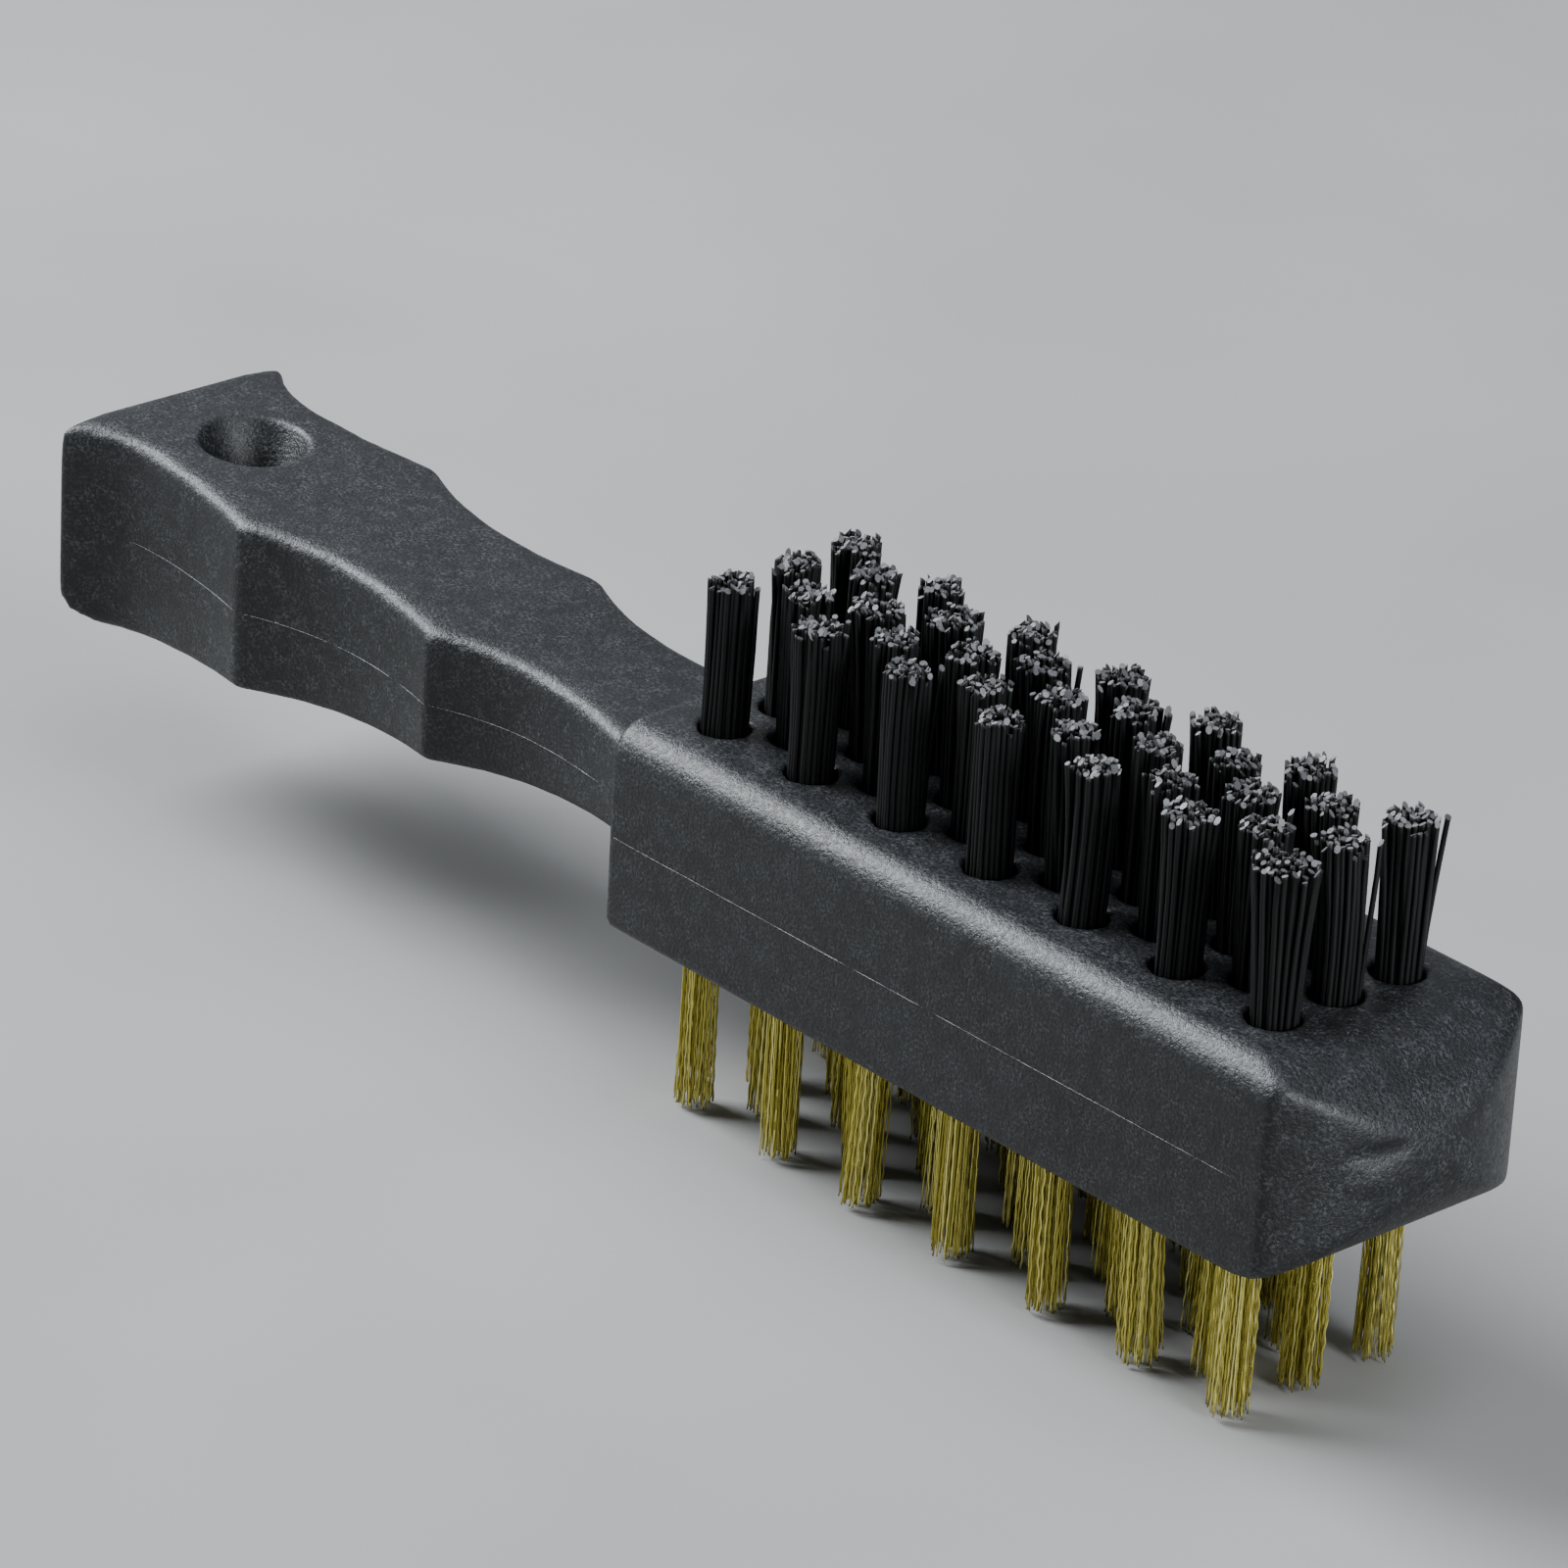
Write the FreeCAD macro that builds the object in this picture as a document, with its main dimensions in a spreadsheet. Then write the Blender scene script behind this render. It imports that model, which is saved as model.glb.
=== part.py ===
import FreeCAD, Part
import math
import os

import Sketcher

# Two-sided club groove brush: one moulded black body (handle, head and round nose), with nylon tufts
# in the top face and crimped brass tufts in the bottom face. Each tuft is folded over a flat wire
# staple that is wedged across the bottom of its own blind hole.
#
# Every sub-part is drawn about the same point, the middle of the tuft field on the parting plane:
# X runs from the handle to the nose, Y across the brush and Z from the brass side to the nylon side.
# The placement then puts the origin on the ground, under the middle of the whole brush.

DIMENSIONS = {
    # head
    "head_width": 26.0,
    "head_thickness": 17.4,
    "head_back": 35.3,
    "head_front": 36.6,
    "nose_tip": 41.6,
    "top_edge_round": 2.8,
    "bottom_edge_round": 1.0,
    # handle: a wedge that thickens towards its end, with three finger grooves along each side
    "handle_end": 107.9,
    "neck_top": 3.85,
    "neck_bottom": 3.9,
    "tail_top": 8.4,
    "tail_bottom": 10.05,
    "tail_bottom_round": 3.2,
    "handle_edge_round": 1.0,
    "tail_half_width": 12.4,
    "waist_one_at": 99.5,
    "waist_one_half": 8.7,
    "ridge_one_at": 85.2,
    "ridge_one_half": 10.5,
    "waist_two_at": 73.0,
    "waist_two_half": 7.8,
    "ridge_two_at": 62.5,
    "ridge_two_half": 9.2,
    "waist_three_at": 51.0,
    "waist_three_half": 6.5,
    "neck_half_width": 9.7,
    # hanging hole: a plain bore with a conical mouth on each side
    "hole_at": 96.3,
    "bore_radius": 2.0,
    "mouth_radius": 4.65,
    "mouth_depth": 5.5,
    # tuft field: rows along X, every other row shifted by half a pitch
    "tuft_pitch": 10.0,
    "nylon_row_spacing": 3.14,
    "brass_row_spacing": 3.7,
    "tuft_hole_radius": 2.1,
    "tuft_hole_depth": 7.0,
    "tuft_radius": 2.0,
    "nylon_length": 12.8,
    "nylon_tip_radius": 2.2,
    "brass_length": 15.0,
    "brass_tip_radius": 2.6,
    # anchor staples
    "staple_length": 5.0,
    "staple_thickness": 0.4,
    "staple_height": 1.2,
    "fold_depth": 0.8,
}

LONG_ROW_TUFTS = 7
SHORT_ROW_TUFTS = 6
ROWS = 5
CUT_MARGIN = 5.0

doc = FreeCAD.newDocument("club_groove_brush")


def make_sheet():
    """Put the driving dimensions in the document's spreadsheet, one alias a row."""
    sheet = doc.addObject("Spreadsheet::Sheet", "dims")
    for line, (alias, value) in enumerate(DIMENSIONS.items(), start=1):
        sheet.set("A%d" % line, alias)
        sheet.set("B%d" % line, str(value))
        sheet.setAlias("B%d" % line, alias)
    doc.recompute()
    return sheet


def new_body(label, x_shift="0"):
    """A body whose local origin is the middle of the tuft field, shifted along X by x_shift."""
    body = doc.addObject("PartDesign::Body", label)
    body.Label = label
    centre_x = "(dims.handle_end - dims.nose_tip) / 2"
    body.setExpression("Placement.Base.x", "%s + %s" % (centre_x, x_shift))
    body.setExpression("Placement.Base.z", "dims.head_thickness / 2 + dims.brass_length")
    return body


def origin_part(body, role):
    """The body's own origin plane or axis with this role."""
    return next(f for f in body.Origin.OriginFeatures if f.Role == role)


def new_sketch(body, name, plane, lift="0", along="0"):
    """A sketch on one of the body's own planes, lifted off it and moved along its first axis."""
    sketch = body.newObject("Sketcher::SketchObject", name)
    sketch.AttachmentSupport = [(origin_part(body, plane), "")]
    sketch.MapMode = "FlatFace"
    sketch.setExpression("AttachmentOffset.Base.x", along)
    sketch.setExpression("AttachmentOffset.Base.z", lift)
    return sketch


def hold(sketch, edge, vertex, across=None, up=None):
    """Fix one point of an edge at (across, up), given as expressions of the sheet; None leaves it free."""
    for kind, expression in (("DistanceX", across), ("DistanceY", up)):
        if expression is None:
            continue
        constraint = Sketcher.Constraint(kind, -1, 1, edge, vertex, value_of(expression))
        index = sketch.addConstraint(constraint)
        sketch.setExpression("Constraints[%d]" % index, expression)


def join_ends(sketch, edges):
    """Join each edge's end to the next edge's start, and the last to the first."""
    for edge, following in zip(edges, edges[1:] + edges[:1]):
        sketch.addConstraint(Sketcher.Constraint("Coincident", edge, 2, following, 1))


def value_of(expression):
    """The number that an expression of the sheet stands for."""
    probe = doc.getObject("dims")
    return float(probe.evalExpression(expression.replace("dims.", "")))


def polygon(sketch, corners):
    """A closed outline of straight edges through corners given as pairs of expressions."""
    points = [FreeCAD.Vector(value_of(a), value_of(b), 0) for a, b in corners]
    edges = []
    for start, end in zip(points, points[1:] + points[:1]):
        edges.append(sketch.addGeometry(Part.LineSegment(start, end), False))
    join_ends(sketch, edges)
    for edge, (across, up) in zip(edges, corners):
        hold(sketch, edge, 1, across, up)


def circle(sketch, radius):
    """A circle round the sketch's origin."""
    start = Part.Circle(FreeCAD.Vector(0, 0, 0), FreeCAD.Vector(0, 0, 1), value_of(radius))
    edge = sketch.addGeometry(start, False)
    sketch.addConstraint(Sketcher.Constraint("Coincident", edge, 3, -1, 1))
    index = sketch.addConstraint(Sketcher.Constraint("Radius", edge, value_of(radius)))
    sketch.setExpression("Constraints[%d]" % index, radius)


def pad(body, sketch, length, symmetric=True):
    feature = body.newObject("PartDesign::Pad", sketch.Name + "_pad")
    feature.Profile = sketch
    feature.SideType = "Symmetric" if symmetric else "One side"
    feature.setExpression("Length", length)
    return feature


def pocket(body, sketch, length=None, upwards=False):
    """Cut the sketch right through both ways, or to a length on one side of it."""
    feature = body.newObject("PartDesign::Pocket", sketch.Name + "_pocket")
    feature.Profile = sketch
    if length is None:
        feature.SideType = "Symmetric"
        feature.Type = "ThroughAll"
    else:
        feature.setExpression("Length", length)
        feature.Reversed = upwards
    return feature


def pattern(body, features, count):
    """Repeat features along X at the tuft pitch."""
    feature = body.newObject("PartDesign::LinearPattern", features[0].Name + "_row")
    feature.Originals = features
    feature.Direction = (origin_part(body, "X_Axis"), [""])
    feature.Mode = "Spacing"
    feature.setExpression("Offset", "dims.tuft_pitch")
    feature.Occurrences = count
    body.Tip = feature
    return feature


def fillet(body, radius, chosen):
    """Round the edges of the body's shape so far for which chosen(edge) is true."""
    doc.recompute()
    base = body.Tip
    names = ["Edge%d" % (i + 1) for i, edge in enumerate(base.Shape.Edges) if chosen(edge)]
    feature = body.newObject("PartDesign::Fillet", "fillet_" + radius.split(".")[-1])
    feature.Base = (base, names)
    feature.setExpression("Radius", radius)
    doc.recompute()
    return feature


def middle(edge):
    return edge.valueAt((edge.FirstParameter + edge.LastParameter) / 2)


# ---------------------------------------------------------------- the moulded body

def head_section(sketch):
    """Section across the head: a bar with well rounded top edges and barely rounded bottom ones."""
    half_width = "dims.head_width / 2"
    half_height = "dims.head_thickness / 2"
    corners = [(1, -1, "dims.bottom_edge_round"), (1, 1, "dims.top_edge_round"),
               (-1, 1, "dims.top_edge_round"), (-1, -1, "dims.bottom_edge_round")]
    edges = []
    for right, top, rounding in corners:
        across = "%d * (%s - %s)" % (right, half_width, rounding)
        up = "%d * (%s - %s)" % (top, half_height, rounding)
        radius = value_of(rounding)
        centre = FreeCAD.Vector(value_of(across), value_of(up), 0)
        turn = {(1, -1): 270, (1, 1): 0, (-1, 1): 90, (-1, -1): 180}[(right, top)]
        whole = Part.Circle(centre, FreeCAD.Vector(0, 0, 1), radius)
        arc = Part.ArcOfCircle(whole, math.radians(turn), math.radians(turn + 90))
        edges.append(sketch.addGeometry(arc, False))
        hold(sketch, edges[-1], 3, across, up)
        index = sketch.addConstraint(Sketcher.Constraint("Radius", edges[-1], radius))
        sketch.setExpression("Constraints[%d]" % index, rounding)
    for arc, following in zip(edges, edges[1:] + edges[:1]):
        start = sketch.getPoint(arc, 2)
        end = sketch.getPoint(following, 1)
        line = sketch.addGeometry(Part.LineSegment(start, end), False)
        sketch.addConstraint(Sketcher.Constraint("Tangent", arc, 2, line, 1))
        sketch.addConstraint(Sketcher.Constraint("Tangent", line, 2, following, 1))


def nose_trim(sketch, start, half):
    """All that lies ahead of a bowed nose line from (start, -half) by the nose tip to (start, half)."""
    side = "%s + %g" % (half, CUT_MARGIN)
    ahead = "dims.nose_tip + %g" % CUT_MARGIN
    corners = [(start, half), (start, side), (ahead, side), (ahead, "-(%s)" % side),
               (start, "-(%s)" % side), (start, "-(%s)" % half)]
    points = [FreeCAD.Vector(value_of(x), value_of(y), 0) for x, y in corners]
    tip = FreeCAD.Vector(value_of("dims.nose_tip"), 0, 0)
    edges = []
    for begin, end in zip(points, points[1:]):
        edges.append(sketch.addGeometry(Part.LineSegment(begin, end), False))
    edges.append(sketch.addGeometry(Part.Arc(points[-1], tip, points[0]), False))
    join_ends(sketch, edges)
    for edge, (along, across) in zip(edges, corners):
        hold(sketch, edge, 1, along, across)
    rise = "(dims.nose_tip - (%s))" % start
    radius = "(%s ^ 2 + (%s) ^ 2) / (2 * %s)" % (rise, half, rise)
    hold(sketch, edges[-1], 3, "dims.nose_tip - %s" % radius)


def grip_trim(sketch):
    """Plan view of what is cut off one side of the handle: three finger grooves.

    Each groove runs from one ridge down to its waist on an arc and up to the next ridge on a second,
    larger arc. The two arcs' centres lie straight across from the waist, so they meet smoothly.
    """
    ridges = [("handle_end", "tail_half_width"), ("ridge_one_at", "ridge_one_half"),
              ("ridge_two_at", "ridge_two_half"), ("head_back", "neck_half_width")]
    waists = [("waist_one_at", "waist_one_half"), ("waist_two_at", "waist_two_half"),
              ("waist_three_at", "waist_three_half")]
    line = []
    for ridge, waist in zip(ridges, waists):
        line += [ridge, waist]
    line.append(ridges[-1])
    points = [FreeCAD.Vector(-value_of("dims." + at), value_of("dims." + half), 0) for at, half in line]
    edges = []
    for number, (start, end) in enumerate(zip(points, points[1:])):
        waist, ridge = (end, start) if number % 2 == 0 else (start, end)
        run = ridge.x - waist.x
        rise = ridge.y - waist.y
        radius = (run * run + rise * rise) / (2 * rise)
        centre = FreeCAD.Vector(waist.x, waist.y + radius, 0)
        towards = ((start + end) * 0.5 - centre).normalize()
        edges.append(sketch.addGeometry(Part.Arc(start, centre + towards * radius, end), False))
    side = value_of("dims.tail_half_width") + CUT_MARGIN
    behind = points[0].x - CUT_MARGIN
    corners = [points[-1], FreeCAD.Vector(points[-1].x, side, 0), FreeCAD.Vector(behind, side, 0),
               FreeCAD.Vector(behind, points[0].y, 0), points[0]]
    for start, end in zip(corners, corners[1:]):
        edges.append(sketch.addGeometry(Part.LineSegment(start, end), False))
    join_ends(sketch, edges)
    for edge, (at, half) in zip(edges, line):
        hold(sketch, edge, 1, "-dims." + at, "dims." + half)
    for number, edge in enumerate(edges[:len(line) - 1]):
        at, half = line[number + 1] if number % 2 == 0 else line[number]
        hold(sketch, edge, 3, "-dims." + at)
    outer = "dims.tail_half_width + %g" % CUT_MARGIN
    behind_end = "-dims.handle_end - %g" % CUT_MARGIN
    hold(sketch, edges[-3], 1, "-dims.head_back", outer)
    hold(sketch, edges[-2], 1, behind_end, outer)
    hold(sketch, edges[-1], 1, behind_end, "dims.tail_half_width")


def handle_profile(sketch):
    """Side view of the handle: a wedge from the neck to the thick end."""
    polygon(sketch, [("-dims.head_back", "dims.neck_top"), ("-dims.handle_end", "dims.tail_top"),
                     ("-dims.handle_end", "-dims.tail_bottom"), ("-dims.head_back", "-dims.neck_bottom")])


def tail_corner(sketch):
    """Side view of what is cut off the lower corner of the handle's end to leave it round."""
    rounding = "dims.tail_bottom_round"
    slope = "((dims.tail_bottom - dims.neck_bottom) / (dims.handle_end - dims.head_back))"
    slant = "sqrt(1 + %s ^ 2)" % slope
    centre_x = "(%s - dims.handle_end)" % rounding
    centre_z = "(%s * (%s + %s) - dims.tail_bottom)" % (rounding, slant, slope)
    foot_x = "(%s + %s * %s / %s)" % (centre_x, rounding, slope, slant)
    foot_z = "(%s - %s / %s)" % (centre_z, rounding, slant)
    behind = "(-dims.handle_end - %g)" % CUT_MARGIN
    below = "(-dims.tail_bottom - %g)" % CUT_MARGIN
    corners = [("-dims.handle_end", centre_z), (foot_x, foot_z), (foot_x, below), (behind, below),
               (behind, centre_z)]
    points = [FreeCAD.Vector(value_of(x), value_of(z), 0) for x, z in corners]
    centre = FreeCAD.Vector(value_of(centre_x), value_of(centre_z), 0)
    radius = value_of(rounding)
    towards = ((points[0] + points[1]) * 0.5 - centre).normalize()
    edges = [sketch.addGeometry(Part.Arc(points[0], centre + towards * radius, points[1]), False)]
    for start, end in zip(points[1:], points[2:] + points[:1]):
        edges.append(sketch.addGeometry(Part.LineSegment(start, end), False))
    join_ends(sketch, edges)
    hold(sketch, edges[0], 3, centre_x, centre_z)
    hold(sketch, edges[0], 1, "-dims.handle_end")
    hold(sketch, edges[1], 1, foot_x)
    for edge, (along, up) in zip(edges[2:], corners[2:]):
        hold(sketch, edge, 1, along, up)


def hole_profile(sketch):
    """Half section of the hanging hole, about its own axis."""
    slope = "((dims.mouth_radius - dims.bore_radius) / dims.mouth_depth)"
    wide = "dims.mouth_radius + %s * %g" % (slope, CUT_MARGIN)
    taper_at = "(dims.hole_at - dims.head_back) / (dims.handle_end - dims.head_back)"
    top = "(dims.neck_top + (dims.tail_top - dims.neck_top) * %s)" % taper_at
    bottom = "(-dims.neck_bottom - (dims.tail_bottom - dims.neck_bottom) * %s)" % taper_at
    polygon(sketch, [("0", "%s + %g" % (top, CUT_MARGIN)), (wide, "%s + %g" % (top, CUT_MARGIN)),
                     ("dims.bore_radius", "%s - dims.mouth_depth" % top),
                     ("dims.bore_radius", "%s + dims.mouth_depth" % bottom),
                     (wide, "%s - %g" % (bottom, CUT_MARGIN)), ("0", "%s - %g" % (bottom, CUT_MARGIN))])


def tuft_holes(body, row, side):
    """Blind tuft holes of one row, each with the slot that its staple bites into the walls."""
    count, first, across = row_layout(row, side)
    name = "%s_%d" % ("top" if side > 0 else "bottom", row + 1)
    face = "%d * dims.head_thickness / 2" % side
    mouth = new_sketch(body, "hole_" + name, "XY_Plane", face, first)
    mouth.setExpression("AttachmentOffset.Base.y", across)
    circle(mouth, "dims.tuft_hole_radius")
    drilled = pocket(body, mouth, "dims.tuft_hole_depth", side < 0)
    seat = "%d * (dims.head_thickness / 2 - dims.tuft_hole_depth + dims.fold_depth + dims.staple_height)" % side
    slot = new_sketch(body, "slot_" + name, "XY_Plane", seat, first)
    slot.setExpression("AttachmentOffset.Base.y", across)
    staple_outline(slot)
    slotted = pocket(body, slot, "dims.staple_height", side < 0)
    pattern(body, [drilled, slotted], count)


def staple_outline(sketch):
    long_half = "dims.staple_length / 2"
    thin_half = "dims.staple_thickness / 2"
    polygon(sketch, [("-" + long_half, "-" + thin_half), (long_half, "-" + thin_half),
                     (long_half, thin_half), ("-" + long_half, thin_half)])


def row_layout(row, side):
    """Number of tufts in a row, and expressions for where its first tuft stands along and across.

    The brass rows, on side -1, stand a little further apart than the nylon rows on side 1.
    """
    count = LONG_ROW_TUFTS if row % 2 == 0 else SHORT_ROW_TUFTS
    first = "-%g * dims.tuft_pitch" % ((count - 1) / 2)
    spacing = "dims.nylon_row_spacing" if side > 0 else "dims.brass_row_spacing"
    across = "%d * %s" % (row - ROWS // 2, spacing)
    return count, first, across


def make_moulded_body():
    body = new_body("moulded_body")
    section = new_sketch(body, "head_section", "YZ_Plane", "-dims.head_back")
    head_section(section)
    pad(body, section, "dims.head_back + dims.nose_tip", symmetric=False)
    side_view = new_sketch(body, "nose_side", "XZ_Plane")
    nose_trim(side_view, "dims.nose_tip - dims.head_thickness / 2", "dims.head_thickness / 2")
    pocket(body, side_view)
    plan_view = new_sketch(body, "nose_plan", "XY_Plane")
    nose_trim(plan_view, "dims.head_front", "dims.head_width / 2")
    pocket(body, plan_view)

    wedge = new_sketch(body, "handle_side", "XZ_Plane")
    handle_profile(wedge)
    pad(body, wedge, "2 * dims.tail_half_width")
    grip = new_sketch(body, "grip_plan", "XY_Plane")
    grip_trim(grip)
    grooves = pocket(body, grip)
    other_side = body.newObject("PartDesign::Mirrored", "grip_other_side")
    other_side.Originals = [grooves]
    other_side.MirrorPlane = (origin_part(body, "XZ_Plane"), [""])
    body.Tip = other_side

    back = -DIMENSIONS["head_back"]
    fillet(body, "dims.handle_edge_round",
           lambda edge: middle(edge).x < back - 1.0 and is_outer_rim(edge))
    corner = new_sketch(body, "tail_corner", "XZ_Plane")
    tail_corner(corner)
    pocket(body, corner)

    hole = new_sketch(body, "hanging_hole", "XZ_Plane", along="-dims.hole_at")
    hole_profile(hole)
    drilled = body.newObject("PartDesign::Groove", "hanging_hole_cut")
    drilled.Profile = hole
    drilled.ReferenceAxis = (hole, ["V_Axis"])
    for side in (1, -1):
        for row in range(ROWS):
            tuft_holes(body, row, side)
    return body


def is_outer_rim(edge):
    """True for the edges between the handle's sides and its top or bottom, and round its end."""
    start, end = (vertex.Point for vertex in (edge.firstVertex(), edge.lastVertex()))
    upright = abs(start.x - end.x) < 1e-4 and abs(start.y - end.y) < 1e-4
    return not upright and abs(middle(edge).z) > 1.0


# ---------------------------------------------------------------- tufts and staples

def tuft_profile(sketch, side, length, tip_radius):
    """Half section of a tuft: straight inside its hole, then spreading a little towards the tip."""
    foot = "%d * (dims.head_thickness / 2 - dims.tuft_hole_depth)" % side
    mouth = "%d * dims.head_thickness / 2" % side
    tip = "%d * (dims.head_thickness / 2 + %s)" % (side, length)
    polygon(sketch, [("0", foot), ("dims.tuft_radius", foot), ("dims.tuft_radius", mouth),
                     (tip_radius, tip), ("0", tip)])


def make_tuft_row(label, row, side, length, tip_radius):
    """One row of tufts, each a solid of its own with the gap that its staple sits in."""
    count, first, across = row_layout(row, side)
    body = new_body(label, first)
    body.setExpression("Placement.Base.y", across)
    outline = new_sketch(body, label + "_section", "XZ_Plane")
    tuft_profile(outline, side, length, tip_radius)
    turned = body.newObject("PartDesign::Revolution", label + "_tuft")
    turned.Profile = outline
    turned.ReferenceAxis = (outline, ["V_Axis"])
    seat = "%d * (dims.head_thickness / 2 - dims.tuft_hole_depth + dims.fold_depth + dims.staple_height)" % side
    gap = new_sketch(body, label + "_gap", "XY_Plane", seat)
    staple_outline(gap)
    parted = pocket(body, gap, "dims.staple_height", side < 0)
    pattern(body, [turned, parted], count)
    return body


def make_staple_row(label, row, side):
    """One row of anchor staples: short flat wires standing across the bottoms of the holes."""
    count, first, across = row_layout(row, side)
    body = new_body(label, first)
    body.setExpression("Placement.Base.y", across)
    seat = "%d * (dims.head_thickness / 2 - dims.tuft_hole_depth + dims.fold_depth)" % side
    outline = new_sketch(body, label + "_plan", "XY_Plane", seat)
    staple_outline(outline)
    raised = pad(body, outline, "dims.staple_height", symmetric=False)
    raised.Reversed = side < 0
    pattern(body, [raised], count)
    return body


def check(parts):
    """Stop if any object of the document failed, or a sub-part has no sound shape."""
    for item in doc.Objects:
        if "Invalid" in item.State or "Error" in item.State:
            raise RuntimeError("%s did not compute: %s" % (item.Name, item.State))
    for part in parts:
        if part.Shape.isNull() or not part.Shape.isValid():
            raise RuntimeError("%s has no valid shape" % part.Label)


make_sheet()
parts = [make_moulded_body()]
for row in range(ROWS):
    parts.append(make_tuft_row("nylon_tufts_row_%d" % (row + 1), row, 1,
                               "dims.nylon_length", "dims.nylon_tip_radius"))
    parts.append(make_tuft_row("brass_tufts_row_%d" % (row + 1), row, -1,
                               "dims.brass_length", "dims.brass_tip_radius"))
    parts.append(make_staple_row("nylon_staples_row_%d" % (row + 1), row, 1))
    parts.append(make_staple_row("brass_staples_row_%d" % (row + 1), row, -1))
doc.recompute()
check(parts)

os.makedirs("parts", exist_ok=True)
for part in parts:
    part.Shape.exportStep("parts/%s.step" % part.Label)
    box = part.Shape.BoundBox
    print("%-24s solids %2d  volume %9.1f  X %.1f..%.1f  Y %.1f..%.1f  Z %.1f..%.1f" % (
        part.Label, len(part.Shape.Solids), part.Shape.Volume,
        box.XMin, box.XMax, box.YMin, box.YMax, box.ZMin, box.ZMax))
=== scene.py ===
"""Looks for a two-sided club groove brush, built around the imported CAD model.

Lengths are in millimetres and turned into metres where a mesh or node is made. Only the stage is
written in metres.
"""
import math

import bmesh
import bpy
import numpy as np
from mathutils import Matrix, Vector, noise


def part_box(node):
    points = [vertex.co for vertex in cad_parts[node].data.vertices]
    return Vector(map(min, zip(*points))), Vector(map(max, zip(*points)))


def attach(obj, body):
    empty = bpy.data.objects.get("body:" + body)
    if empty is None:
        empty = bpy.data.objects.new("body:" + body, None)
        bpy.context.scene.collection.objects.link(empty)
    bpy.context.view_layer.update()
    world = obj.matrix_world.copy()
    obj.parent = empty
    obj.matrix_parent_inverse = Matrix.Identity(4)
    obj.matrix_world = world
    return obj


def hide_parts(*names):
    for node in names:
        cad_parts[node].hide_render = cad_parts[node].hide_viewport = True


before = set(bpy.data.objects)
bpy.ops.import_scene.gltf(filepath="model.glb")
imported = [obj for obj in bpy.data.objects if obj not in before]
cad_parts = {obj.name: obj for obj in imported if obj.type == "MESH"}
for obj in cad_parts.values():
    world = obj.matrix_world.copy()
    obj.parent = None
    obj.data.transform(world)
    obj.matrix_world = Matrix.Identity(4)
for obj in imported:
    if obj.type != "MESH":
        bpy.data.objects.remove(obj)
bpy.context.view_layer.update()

MM = 0.001
FULL_TURN = 2 * math.pi
CAD_BODY = "moulded_body"
ROWS = (1, 2, 3, 4, 5)
LONG_ROW, SHORT_ROW = 7, 6
TUFT_PITCH = 10.0
TUFT_HOLE_DEPTH = 7.0
# Along the brush from the middle of the tufts, to the ends of the head and to the hanging hole.
HEAD_LENGTH_BEHIND = 35.3
HEAD_LENGTH_AHEAD = 36.6
HOLE_BEHIND = 96.3


def box_mm(node):
    """A node's lowest and highest corners, in mm."""
    low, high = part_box(node)
    return Vector(low) / MM, Vector(high) / MM


BODY_LOW, BODY_HIGH = box_mm(CAD_BODY)
FIELD_X = sum(corner.x for corner in box_mm("nylon_tufts_row_3")) / 2
HEAD_TOP = BODY_HIGH.z
HEAD_BOTTOM = box_mm("brass_tufts_row_3")[1].z - TUFT_HOLE_DEPTH
HEAD_MIDDLE = (HEAD_TOP + HEAD_BOTTOM) / 2
HEAD_BACK = FIELD_X - HEAD_LENGTH_BEHIND
HEAD_FRONT = FIELD_X + HEAD_LENGTH_AHEAD
HOLE_X = FIELD_X - HOLE_BEHIND

scene = bpy.context.scene


# ---------------------------------------------------------------- materials

PLASTIC_DARK, PLASTIC_PALE = (0.0014, 0.0016, 0.0020), (0.0044, 0.0048, 0.0057)
NO_DUST, DUST = (0.0, 0.0, 0.0), (0.029, 0.0305, 0.033)
NYLON_DARK, NYLON_PALE = (0.0007, 0.0008, 0.0008), (0.0027, 0.0031, 0.0029)
CUT_DARK, CUT_MIDDLE, CUT_PALE = (0.013, 0.013, 0.0145), (0.038, 0.0375, 0.041), (0.098, 0.097, 0.103)
BRASS_DULL, BRASS_MIDDLE, BRASS_BRIGHT = (0.26, 0.22, 0.032), (0.56, 0.49, 0.095), (0.84, 0.78, 0.30)
STEEL_DARK, STEEL_PALE = (0.48, 0.48, 0.47), (0.62, 0.62, 0.60)
FLOOR_DARK, FLOOR_PALE = (0.150, 0.150, 0.147), (0.170, 0.170, 0.167)


def new_material(name):
    """A material with a lone Principled shader; returns it with its node tree and shader."""
    material = bpy.data.materials.new(name)
    material.use_nodes = True
    tree = material.node_tree
    return material, tree, tree.nodes["Principled BSDF"]


def add_node(tree, kind, **values):
    """A node whose named inputs and properties are set from values."""
    node = tree.nodes.new(kind)
    for key, value in values.items():
        if key in node.inputs:
            node.inputs[key].default_value = value
        else:
            setattr(node, key, value)
    return node


def noise_node(tree, size, detail=2.0, roughness=0.5, stretch=None):
    """Noise in object coordinates with features about size mm across."""
    node = add_node(tree, "ShaderNodeTexNoise", Scale=1.0 / (size * MM), Detail=detail, Roughness=roughness)
    source = tree.nodes.new("ShaderNodeTexCoord").outputs["Object"]
    if stretch:
        mapping = add_node(tree, "ShaderNodeMapping", Scale=stretch)
        tree.links.new(source, mapping.inputs["Vector"])
        source = mapping.outputs["Vector"]
    tree.links.new(source, node.inputs["Vector"])
    return node.outputs["Fac"]


def strand_tone(tree):
    """Each strand's own number, from 0 to 1."""
    return add_node(tree, "ShaderNodeAttribute", attribute_name="tone").outputs["Fac"]


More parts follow.
